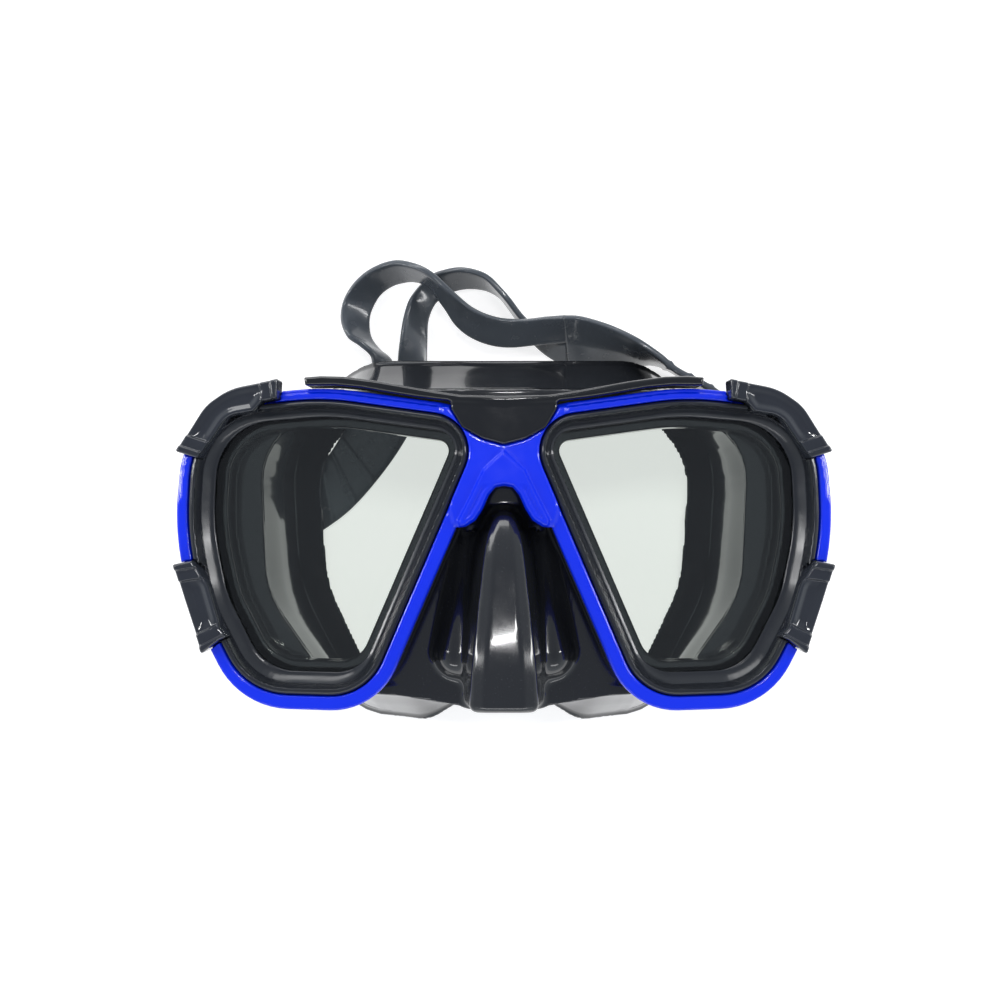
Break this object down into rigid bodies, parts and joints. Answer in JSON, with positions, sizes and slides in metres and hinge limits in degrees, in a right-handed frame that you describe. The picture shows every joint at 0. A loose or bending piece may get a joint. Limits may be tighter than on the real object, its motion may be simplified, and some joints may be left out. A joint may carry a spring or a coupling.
{
  "type": "diving mask",
  "caption": "Two-lens diving mask with a silicone skirt and nose pocket, clip-on trim, and a split strap on swivel buckles with sprung release levers.",
  "frame": {"origin": "on the plane that the skirt's rim rests on, in the mask's plane of symmetry, under the bridge", "axes": "+Z out through the lenses, +Y to the forehead, +X across the face to the right buckle"},
  "size_m": [0.1686, 0.1385, 0.07],
  "materials": {
    "skirt": "glossy silicone",
    "frame_black": "gloss",
    "trim_blue": "gloss",
    "glass": "clear tempered",
    "bezel_black": "satin",
    "clip_grey": "gloss",
    "buckle_black": "satin",
    "pin_steel": "satin",
    "strap": "glossy silicone"
  },
  "bodies": {
    "root": {"skirt": "skirt", "main_frame": "frame_black", "brow_cover": "frame_black", "front_trim": "trim_blue", "lens_left": "glass", "lens_right": "glass", "lens_bezel_left": "bezel_black", "lens_bezel_right": "bezel_black", "corner_clip_left": "clip_grey", "corner_clip_right": "clip_grey", "side_clip_left": "clip_grey", "side_clip_right": "clip_grey", "buckle_lug_left": "buckle_black", "buckle_lug_right": "buckle_black", "swivel_pin_left": "pin_steel", "swivel_pin_right": "pin_steel", "strap": "strap"},
    "buckle_left": {"buckle_body_left": "buckle_black", "roller_axle_left": "pin_steel", "lever_pin_left": "pin_steel", "lever_spring_left": "pin_steel", "strap_keeper_left": "buckle_black"},
    "roller_left": {"strap_roller_left": "buckle_black"},
    "lever_left": {"release_lever_left": "buckle_black"},
    "buckle_right": {"buckle_body_right": "buckle_black", "roller_axle_right": "pin_steel", "lever_pin_right": "pin_steel", "lever_spring_right": "pin_steel", "strap_keeper_right": "buckle_black"},
    "roller_right": {"strap_roller_right": "buckle_black"},
    "lever_right": {"release_lever_right": "buckle_black"}
  },
  "joints": [
    {"name": "swivel_left", "type": "hinge", "parent": "root", "child": "buckle_left", "pos_m": [-0.079, 0, 0.031], "axis": [1, 0, 0], "range_deg": [-20, 40], "deforming": ["strap"]},
    {"name": "roller_spin_left", "type": "hinge", "parent": "buckle_left", "child": "roller_left", "pos_m": [-0.0733, 0, 0.017], "axis": [0, 1, 0], "continuous": true, "deforming": ["strap"]},
    {"name": "lever_press_left", "type": "hinge", "parent": "buckle_left", "child": "lever_left", "pos_m": [-0.0736, 0, 0.026], "axis": [0, -1, 0], "range_deg": [0, 12], "stiffness_Nm_per_rad": 0.02, "springref_deg": -11.46, "deforming": ["lever_spring_left", "strap"]},
    {"name": "swivel_right", "type": "hinge", "parent": "root", "child": "buckle_right", "pos_m": [0.079, 0, 0.031], "axis": [1, 0, 0], "range_deg": [-55, 5], "deforming": ["strap"]},
    {"name": "roller_spin_right", "type": "hinge", "parent": "buckle_right", "child": "roller_right", "pos_m": [0.0733, 0.00803, 0.01953], "axis": [0, 0.8192, 0.5736], "continuous": true, "deforming": ["strap"]},
    {"name": "lever_press_right", "type": "hinge", "parent": "buckle_right", "child": "lever_right", "pos_m": [0.0736, 0.00287, 0.0269], "axis": [0, 0.8192, 0.5736], "range_deg": [0, 12], "stiffness_Nm_per_rad": 0.02, "springref_deg": -11.46, "deforming": ["lever_spring_right", "strap"]}
  ]
}
